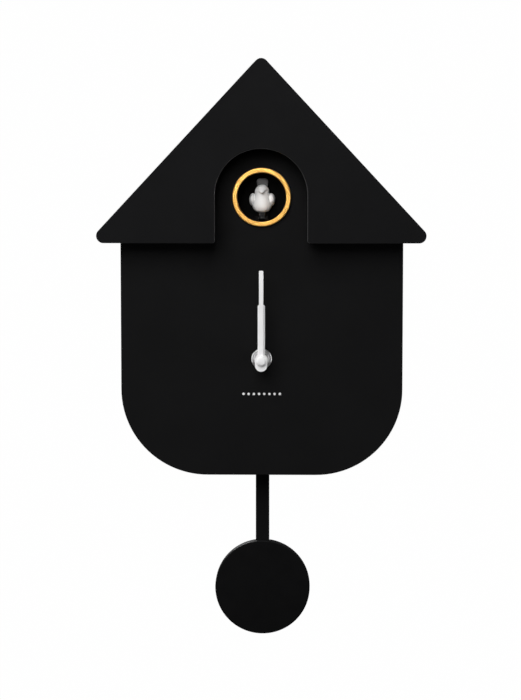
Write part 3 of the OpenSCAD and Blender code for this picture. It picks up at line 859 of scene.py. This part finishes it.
class Window(SubAssembly):
    """The metal ring and the dark tunnel behind it."""

    sizes = WindowSizes()

    def build(self) -> None:
        """Turns the ring with rounded lips and dresses the tunnel."""
        low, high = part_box("window_ring")
        outer = (high.x - low.x) / 2
        size = self.sizes
        profile = [(size.bore, high.y)]
        profile += self.lip(size.bore, low.y, size.inner_lip, 1)
        profile += self.lip(outer, low.y, size.outer_lip, -1)
        seat = outer - size.seat
        profile += [(outer, size.dial), (seat, size.dial), (seat, high.y)]
        work = Workpiece()
        work.lathe(profile, ((low.x + high.x) / 2, (low.z + high.z) / 2), 192)
        self.stand_in(work.finish("ring_turned", self.palette["ring_gold"]), "window_ring")
        self.dress("bird_tunnel", "tunnel_black")

    @staticmethod
    def lip(radius: float, front: float, rounding: float, side: int) -> list[Point2]:
        """Quarter arc where a wall meets the front.

        Args:
            radius: the wall's radius.
            front: y of the front.
            rounding: arc radius.
            side: 1 for the inner lip and -1 for the outer.

        Returns:
            Profile points in order round the ring's section.
        """
        arc = [
            (radius + side * rounding * (1 - math.cos(t)), front + rounding * (1 - math.sin(t)))
            for t in (math.pi / 2 * k / 5 for k in range(6))
        ]
        return arc if side > 0 else arc[::-1]


@dataclass(frozen=True)
class Slice:
    """One level of the bird's body.

    Args:
        z: height.
        half: half width.
        y: middle in depth.
        deep: half depth.
    """

    z: float
    half: float
    y: float
    deep: float


@dataclass(frozen=True)
class Wing:
    """Shape of a folded wing, in millimetres.

    Args:
        front: y of the front tip.
        length: from the front tip to the rear tip.
        middle: height of the middle at the front tip.
        fall: how much lower the middle lies at the rear tip.
        out: distance of the middle from the bird's centre plane at the front tip.
        draw_in: how much closer the middle lies at the rear tip.
        tall: greatest half height.
        taper: share of that height lost by the rear tip.
        thick: greatest half thickness.
        lean: inward lean per squared millimetre above the middle.
    """

    front: float = -48.4
    length: float = 13.0
    middle: float = -35.3
    fall: float = 2.2
    out: float = 6.65
    draw_in: float = 0.4
    tall: float = 5.0
    taper: float = 0.25
    thick: float = 2.6
    lean: float = 0.01


@dataclass(frozen=True)
class Tail:
    """Shape of the flat tail, in millimetres.

    Args:
        foot: half width at the bottom.
        flare: how much wider each side is at the top.
        crown: share of the height below the round top.
        crown_width: share of the width left at the very top.
        crown_depth: share of the thickness left at the very top.
    """

    foot: float = 2.6
    flare: float = 1.7
    crown: float = 0.8
    crown_width: float = 0.35
    crown_depth: float = 0.45


@dataclass(frozen=True)
class Beak:
    """Shape of the blunt beak, in millimetres.

    Args:
        back: y of its root inside the head.
        length: from the root to the tip.
        middle: height of the middle at the root.
        droop: how much lower the middle lies at the tip.
        half: half width at the root.
        narrow: how much of it is lost at the tip.
        tall: half height at the root.
        flatten: how much of it is lost at the tip.
    """

    back: float = -49.4
    length: float = 4.9
    middle: float = -29.0
    droop: float = 2.1
    half: float = 3.4
    narrow: float = 1.6
    tall: float = 2.9
    flatten: float = 1.3


def squared(value: float, power: float) -> float:
    """Pushes a sine or cosine outwards, so that a section turns from round to boxy.

    Args:
        value: the sine or cosine.
        power: 1 leaves it round and 0 makes it square.

    Returns:
        The value pushed out, with its own sign.
    """
    return math.copysign(abs(value) ** power, value)


class Bird(SubAssembly):
    """The sliding bird on its post and rack."""

    wing = Wing()
    tail_shape = Tail()
    beak_shape = Beak()
    post_edge: float = 0.0006
    slices = (
        Slice(-45.15, 1.6, -43.6, 2.2), Slice(-44.9, 3.4, -43.5, 4.2), Slice(-44.2, 4.9, -43.3, 6.0),
        Slice(-42.9, 6.1, -43.0, 7.4), Slice(-41.3, 6.75, -42.8, 8.3), Slice(-39.6, 6.85, -42.7, 8.5),
        Slice(-37.8, 6.55, -42.9, 8.3), Slice(-36.0, 6.0, -43.4, 7.6), Slice(-34.2, 5.5, -44.3, 6.6),
        Slice(-32.4, 5.2, -45.4, 5.6), Slice(-30.7, 5.05, -46.2, 5.1), Slice(-29.1, 4.75, -46.5, 4.8),
        Slice(-27.7, 4.0, -46.6, 4.2), Slice(-26.6, 2.9, -46.6, 3.2), Slice(-25.9, 1.6, -46.6, 1.9),
        Slice(-25.7, 0.6, -46.6, 0.8),
    )

    def build(self) -> None:
        """Builds body, beak, wings and tail, and dresses the post and rack."""
        work = Workpiece()
        work.loft([self.ring(s, 40) for s in self.slices])
        self.skin(work, "bird_body")
        self.wings()
        self.beak()
        self.tail()
        self.refine("bird_post", "post_black", self.post_edge, 3)
        self.dress("bird_rack", "post_black")

    def skin(self, work: Workpiece, node: str) -> None:
        """Rounds a lofted shape, paints it white and lets it stand in for a node."""
        formed = work.finish(node + "_formed", self.palette["bird_white"], subdivide=1)
        self.stand_in(formed, node)

    @staticmethod
    def ring(s: Slice, count: int) -> list[Vector]:
        """Points of one level of the body."""
        return [
            Vector((
                s.half * math.cos(2 * math.pi * k / count),
                s.y + s.deep * math.sin(2 * math.pi * k / count),
                s.z,
            )) * MM
            for k in range(count)
        ]

    def wings(self) -> None:
        """Lofts both folded wings as rounded lobes that hug the body."""
        work = Workpiece()
        for side in (-1, 1):
            rings = []
            for k in range(15):
                t = k / 14
                swell = math.sin(math.pi * min(1.0, 0.04 + t * 0.94)) ** 0.5
                tall = max(0.25, self.wing.tall * swell * (1 - self.wing.taper * t))
                thick = max(0.15, self.wing.thick * swell)
                rings.append([
                    self.lobe(2 * math.pi * i / 24, side, thick, tall, t) for i in range(24)
                ])
            work.loft(rings)
        self.skin(work, "bird_wings")

    def lobe(self, angle: float, side: int, thick: float, tall: float, t: float) -> Vector:
        """One point of a wing's section.

        Args:
            angle: where the point lies round the section, radians.
            side: 1 for the right wing and -1 for the left.
            thick: half thickness in millimetres.
            tall: half height in millimetres.
            t: share of the way from the front tip to the rear tip.

        Returns:
            The point in metres; the section leans inwards towards its upper end.
        """
        wing = self.wing
        up = tall * math.sin(angle)
        out = wing.out - wing.draw_in * t + thick * math.cos(angle) - wing.lean * up * abs(up)
        y = wing.front + wing.length * t
        return Vector((side * out, y, wing.middle - wing.fall * t + up)) * MM

    def tail(self) -> None:
        """Lofts the flat tail, which widens upwards to a round top."""
        low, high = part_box("bird_tail")
        shape = self.tail_shape
        work = Workpiece()
        rings = []
        for k in range(25):
            t = math.sin(math.pi / 2 * k / 24)
            past = max(0.0, (t - shape.crown) / (1 - shape.crown))
            crown = math.sqrt(max(0.0, 1 - past ** 2))
            width = shape.crown_width + (1 - shape.crown_width) * crown
            half = (shape.foot + shape.flare * t) * MM * width
            depth = shape.crown_depth + (1 - shape.crown_depth) * crown
            thin = (high.y - low.y) / 2 * depth
            middle, z = (low.y + high.y) / 2, low.z + (high.z - low.z) * t
            rings.append([
                Vector((half * squared(math.cos(a), 0.35), middle + thin * squared(math.sin(a), 0.6), z))
                for a in (2 * math.pi * (i + 0.5) / 28 for i in range(28))
            ])
        work.loft(rings)
        self.stand_in(work.finish("bird_tail_formed", self.palette["tail_grey"]), "bird_tail")

    def beak(self) -> None:
        """Lofts the short blunt beak, which flows out of the brow and tapers downwards."""
        shape = self.beak_shape
        work = Workpiece()
        rings = []
        for k in range(13):
            t = k / 12
            grow = math.cos(math.pi / 2 * min(t, 0.98)) ** 0.45
            half = (shape.half - shape.narrow * t) * grow
            tall = (shape.tall - shape.flatten * t) * grow
            y, middle = shape.back - shape.length * t, shape.middle - shape.droop * t
            rings.append([
                Vector((half * math.cos(a), y, middle + tall * math.sin(a))) * MM
                for a in (2 * math.pi * i / 24 for i in range(24))
            ])
        work.loft(rings)
        self.skin(work, "bird_beak")


class BirdDrive(SubAssembly):
    """Motor, gears and guide that slide the bird."""

    def build(self) -> None:
        """Dresses the drive's pieces."""
        self.dress("bird_guide", "moulded_grey")
        self.dress("bird_motor", "motor_can")
        self.dress("bird_drive_gear", "inner_black")
        self.dress("motor_gear", "gear_brass")


@dataclass
class HandSizes:
    """Edge radii of the hands.

    Args:
        hand: radius of the hands' and the cap's edges.
        nut: radius of the nut's edges.
    """

    hand: float = 0.0002
    nut: float = 0.00025


class Hands(SubAssembly):
    """The two straight hands, their cap, nut and washer."""

    sizes = HandSizes()

    def build(self) -> None:
        """Rounds the edges of the hands, the cap and the nut, and dresses the washer."""
        for node in ("hour_hand", "minute_hand", "hand_cap"):
            self.refine(node, "hand_white", self.sizes.hand, 3)
        self.refine("hand_nut", "nut_nickel", self.sizes.nut, 3)
        self.dress("dial_washer", "rubber")


class Movement(SubAssembly):
    """The clock movement behind the dial."""

    def build(self) -> None:
        """Dresses the movement's pieces."""
        self.refine("movement_front", "inner_black", 0.0004, 2, lambda e: front_most(e, -0.0574))
        self.refine("movement_rear", "inner_black", 0.0004, 2, lambda e: front_most(e, -0.034))
        for node in ("hour_wheel", "centre_wheel", "motion_wheel", "third_wheel"):
            self.dress(node, "gear_brass")
        self.dress("centre_arbor", "zinc")
        self.dress("set_shaft", "zinc")
        self.refine("set_knob", "inner_black", 0.0003, 2)
        self.dress("case_screws", "zinc")
        self.dress("drive_stator", "stator_steel")
        self.dress("drive_coil", "coil_copper")
        self.dress("movement_board", "board_green")


@dataclass
class PendulumSizes:
    """Edges of the pendulum.

    Args:
        bob_edge: radius of the bob's edges.
        rod_edge: radius of the rod's edges.
        band: share of the bob shell's depth that the band takes, whose lighter, glossier black is a
            painted highlight round the side.
    """

    bob_edge: float = 0.0003
    rod_edge: float = 0.00035
    band: float = 0.55


class Pendulum(SubAssembly):
    """The pendulum with its bracket and drive coil."""

    sizes = PendulumSizes()

    def build(self) -> None:
        """Rounds the bob and the rod and dresses the rest."""
        self.shell()
        self.refine("bob_back", "bob_black", self.sizes.bob_edge, 2)
        self.refine("pendulum_rod", "rod_black", self.sizes.rod_edge, 3)
        self.dress("bob_weight", "zinc")
        self.dress("bob_screws", "zinc")
        self.dress("pendulum_hanger", "moulded_grey")
        self.dress("pendulum_magnet", "nut_nickel")
        self.dress("pendulum_bracket", "inner_black")
        self.dress("pendulum_coil", "pendulum_copper")

    def shell(self) -> None:
        """Builds the bob's shell with a lighter, glossier band round the front part of its side: a painted
        highlight.
        """
        low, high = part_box("bob_shell")
        split = low.y + (high.y - low.y) * self.sizes.band
        work = Workpiece("bob_shell")
        work.round_over(lambda e: front_most(e, high.y), self.sizes.bob_edge, 3)
        work.cut_across(split)
        bob = work.finish("bob_shell_formed", self.palette["bob_black"])
        # The side faces in front of the split take a lighter, glossier black than the rest: a painted
        # highlight round the bob's rim.
        bob.data.materials.append(self.palette["band_black"])
        for face in bob.data.polygons:
            if abs(face.normal.y) < 0.9 and face.center.y < split:
                face.material_index = 1
        self.stand_in(bob, "bob_shell")


class SoundAndPower(SubAssembly):
    """Speaker, board, controls, cells and their tray."""

    def build(self) -> None:
        """Dresses the sound, power and control pieces."""
        self.dress("speaker_frame", "stator_steel")
        self.dress("speaker_cone", "cone_paper")
        self.dress("speaker_magnet", "zinc")
        self.dress("sound_board", "board_green")
        self.dress("board_parts", "inner_black")
        self.dress("board_screws", "zinc")
        self.dress("battery_tray", "inner_black")
        self.dress("battery_contacts", "nut_nickel")
        self.dress("battery_cells", "cell_sleeve")
        self.refine("battery_door", "panel_black", 0.0003, 2)
        self.refine("volume_wheel", "inner_black", 0.0002, 2)
        self.refine("mode_switch", "moulded_grey", 0.0003, 2)
        self.refine("test_button", "moulded_grey", 0.0003, 3)


# ---------------------------------------------------------------- studio


def hang(data: bpy.types.Light, at: Vector, aim: Vector) -> bpy.types.Object:
    """Puts a light in the scene.

    Args:
        data: the light.
        at: where it stands, in metres.
        aim: what it points at.

    Returns:
        The light's object.
    """
    lamp = bpy.data.objects.new(data.name, data)
    lamp.location = at
    lamp.rotation_euler = (aim - at).to_track_quat("-Z", "Y").to_euler()
    bpy.context.scene.collection.objects.link(lamp)
    return lamp


@dataclass(frozen=True)
class Softbox:
    """A rectangular studio light.

    Args:
        name: the light's name.
        at: where it stands, in metres.
        aim: what it points at.
        size: width and height.
        power: watts.
    """

    name: str
    at: tuple[float, float, float]
    aim: tuple[float, float, float]
    size: tuple[float, float]
    power: float

    def place(self) -> None:
        """Adds the light to the scene."""
        data = bpy.data.lights.new(self.name, "AREA")
        data.shape = "RECTANGLE"
        data.size, data.size_y = self.size
        data.energy = self.power
        hang(data, Vector(self.at), Vector(self.aim)).visible_camera = False


@dataclass(frozen=True)
class Snoot:
    """A narrow round studio light on the window.

    Args:
        at: where it stands, in metres.
        power: watts.
        spread: share of the ring's width that the cone's half angle covers.
        softness: radius of the source.
        blend: share of the cone that fades out.
    """

    at: tuple[float, float, float] = (-0.15, -1.5, 0.15)
    power: float = 21.0
    spread: float = 0.55
    softness: float = 0.02
    blend: float = 0.4

    def place(self) -> None:
        """Adds the light, so that the bird reads against its dark tunnel."""
        low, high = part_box("window_ring")
        aim, at = (low + high) / 2, Vector(self.at)
        data = bpy.data.lights.new("snoot", "SPOT")
        data.energy = self.power
        data.shadow_soft_size = self.softness
        data.spot_size = 2 * math.atan((high.x - low.x) * self.spread / (at - aim).length)
        data.spot_blend = self.blend
        hang(data, at, aim)


@dataclass
class Studio:
    """Floor, backdrop, lights and camera.

    Args:
        palette: the finishes.
        distance: camera to the aimed point, metres.
        side: camera angle to the right of straight ahead, degrees.
        above: camera angle above level, degrees.
        aim: the point in the middle of the picture.
        lens: focal length in millimetres.
        sensor: width of the camera's sensor in millimetres.
        surroundings: strength of the even light from all round.
        shell: radius of the backdrop.
        floor_level: height of the floor.
        floor_half: half the floor's side.
    """

    palette: Palette
    distance: float = 1.55
    side: float = 1.2
    above: float = 5.5
    aim: tuple[float, float, float] = (-0.0008, -0.06, -0.14)
    lens: float = 114.86
    sensor: float = 36.0
    surroundings: float = 0.03
    shell: float = 9.0
    floor_level: float = -1.5
    floor_half: float = 2.0

    softboxes = (
        Softbox("key", (-0.31, -1.08, 0.7), (0, -0.06, -0.08), (1.0, 1.1), 16.5),
        Softbox("front", (0.25, -2.6, 0.75), (0, -0.06, -0.1), (0.7, 0.5), 3.0),
        Softbox("left_strip", (-1.6, -0.38, -0.05), (0, -0.08, -0.1), (0.25, 1.6), 14.0),
        Softbox("right_strip", (1.6, -0.38, -0.05), (0, -0.08, -0.1), (0.25, 1.6), 11.0),
        Softbox("back", (-0.7, 1.2, 0.8), (0, -0.03, -0.12), (0.9, 0.9), 24.0),
    )

    def build(self) -> None:
        """Builds the whole studio."""
        self.world()
        self.backdrop()
        self.floor()
        for box in self.softboxes:
            box.place()
        Snoot().place()
        self.camera()

    def world(self) -> None:
        """Dim even surroundings."""
        world = bpy.data.worlds.new("studio")
        world.use_nodes = True
        background = world.node_tree.nodes["Background"]
        background.inputs["Color"].default_value = (1, 1, 1, 1)
        background.inputs["Strength"].default_value = self.surroundings
        bpy.context.scene.world = world
        bpy.context.scene.view_settings.view_transform = "Standard"
        bpy.context.scene.view_settings.look = "None"

    def backdrop(self) -> None:
        """A bright shell far round the clock that only the camera sees."""
        work = bmesh.new()
        bmesh.ops.create_icosphere(work, subdivisions=4, radius=self.shell)
        self.only_seen(work, "backdrop", "backdrop_white")

    def only_seen(self, work: bmesh.types.BMesh, name: str, finish: str) -> None:
        """Makes a stage object that the camera sees but that sends no light to the clock.

        Args:
            work: its mesh.
            name: its name.
            finish: its finish's name.
        """
        mesh = bpy.data.meshes.new(name)
        work.to_mesh(mesh)
        work.free()
        mesh.materials.append(self.palette[finish])
        piece = bpy.data.objects.new(name, mesh)
        for ray in ("diffuse", "glossy", "transmission", "volume_scatter", "shadow"):
            setattr(piece, "visible_" + ray, False)
        bpy.context.scene.collection.objects.link(piece)

    def floor(self) -> None:
        """A plain pale floor below the clock."""
        work = bmesh.new()
        bmesh.ops.create_grid(work, x_segments=8, y_segments=8, size=self.floor_half)
        bmesh.ops.translate(work, verts=work.verts, vec=(0, 0, self.floor_level))
        self.only_seen(work, "floor", "floor_pale")

    def camera(self) -> None:
        """Looks at the clock from slightly above and slightly right of its middle."""
        a, e = math.radians(self.side), math.radians(self.above)
        back = Vector((math.sin(a) * math.cos(e), -math.cos(a) * math.cos(e), math.sin(e)))
        data = bpy.data.cameras.new("camera")
        data.sensor_width = self.sensor
        data.lens = self.lens
        data.clip_end = 100.0
        view = bpy.data.objects.new("camera", data)
        view.location = Vector(self.aim) + back * self.distance
        view.rotation_euler = (-back).to_track_quat("-Z", "Y").to_euler()
        bpy.context.scene.collection.objects.link(view)
        bpy.context.scene.camera = view


FINISHES = (
    MouldedPlastic("roof_black", (0.0066, 0.0066, 0.0071), 0.62, gloss=0.06),
    MouldedPlastic("body_black", (0.0062, 0.0062, 0.0065), 0.62, gloss=0.06),
    # A lighter, glossier copy of the roof black: painted highlight on the notch's side bevels.
    MouldedPlastic("edge_black", (0.02, 0.02, 0.021), 0.34, gloss=0.8),
    # A lighter, glossier copy of the bob black: painted highlight round the front part of the bob's side.
    MouldedPlastic("band_black", (0.008, 0.008, 0.0082), 0.4, gloss=0.12),
    MouldedPlastic("panel_black", (0.02, 0.02, 0.021), 0.5, 1900.0, 0.00005),
    MouldedPlastic("tunnel_black", (0.002, 0.002, 0.002), 0.8, gloss=0.1),
    MouldedPlastic("inner_black", (0.022, 0.022, 0.024), 0.45, 2400.0, 0.00003),
    MouldedPlastic("bob_black", (0.0042, 0.0042, 0.0044), 0.5, gloss=0.07),
    MouldedPlastic("rod_black", (0.005, 0.005, 0.0052), 0.5, gloss=0.08),
    MouldedPlastic("post_black", (0.006, 0.006, 0.006), 0.15, gloss=0.6),
    MouldedPlastic("moulded_grey", (0.24, 0.25, 0.27), 0.42),
    MouldedPlastic("rubber", (0.03, 0.03, 0.032), 0.8, 1500.0, 0.00006, gloss=0.3),
    MouldedPlastic("bird_white", (0.92, 0.92, 0.915), 0.5, 2600.0, 0.00001, 0.02),
    MouldedPlastic("tail_grey", (0.2, 0.2, 0.205), 0.45, 2600.0, 0.00001),
    MouldedPlastic("floor_pale", (0.8, 0.8, 0.79), 0.7, 60.0, 0.0002, 0.02, lift=0.9),
    SatinPaint("hand_white", (0.97, 0.97, 0.975)),
    SatinPaint("print_white", (0.85, 0.85, 0.85), 0.45),
    BrushedMetal("ring_gold", (0.84, 0.46, 0.115), 0.36, Brushing.SLANTED, contrast=0.18),
    BrushedMetal("zinc", (0.56, 0.57, 0.6), 0.32, Brushing.ACROSS, 1800.0),
    BrushedMetal("stator_steel", (0.36, 0.37, 0.39), 0.36, Brushing.UPRIGHT, 2200.0),
    BrushedMetal("motor_can", (0.6, 0.6, 0.62), 0.3, Brushing.ACROSS, 1500.0),
    TurnedMetal("nut_nickel", (0.72, 0.72, 0.73), (0.0, -0.06, -0.146), 0.33),
    TurnedMetal("gear_brass", (0.72, 0.48, 0.17), (0.0, -0.05, -0.146), 0.3),
    WoundWire("coil_copper", (0.62, 0.25, 0.09), "X"),
    WoundWire("pendulum_copper", (0.62, 0.25, 0.09), "Y"),
    SolderMask("board_green", (0.01, 0.09, 0.03)),
    CellSleeve("cell_sleeve", -0.112),
    PressedPaper("cone_paper", (0.03, 0.03, 0.03)),
    Glow("backdrop_white", 0.99),
)


def main() -> None:
    """Loads the frame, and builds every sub-assembly and the studio."""
    logging.basicConfig(level=logging.INFO, format="%(name)s %(message)s")
    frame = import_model()
    palette = Palette(FINISHES)
    Studio(palette).build()
    parts = (
        Roof, Case, Window, Bird, BirdDrive, Hands, Movement, Pendulum, SoundAndPower,
    )
    for part in parts:
        made = part(palette, frame["record"])
        made.build()
        made.report()


if __name__ == "__main__":
    main()
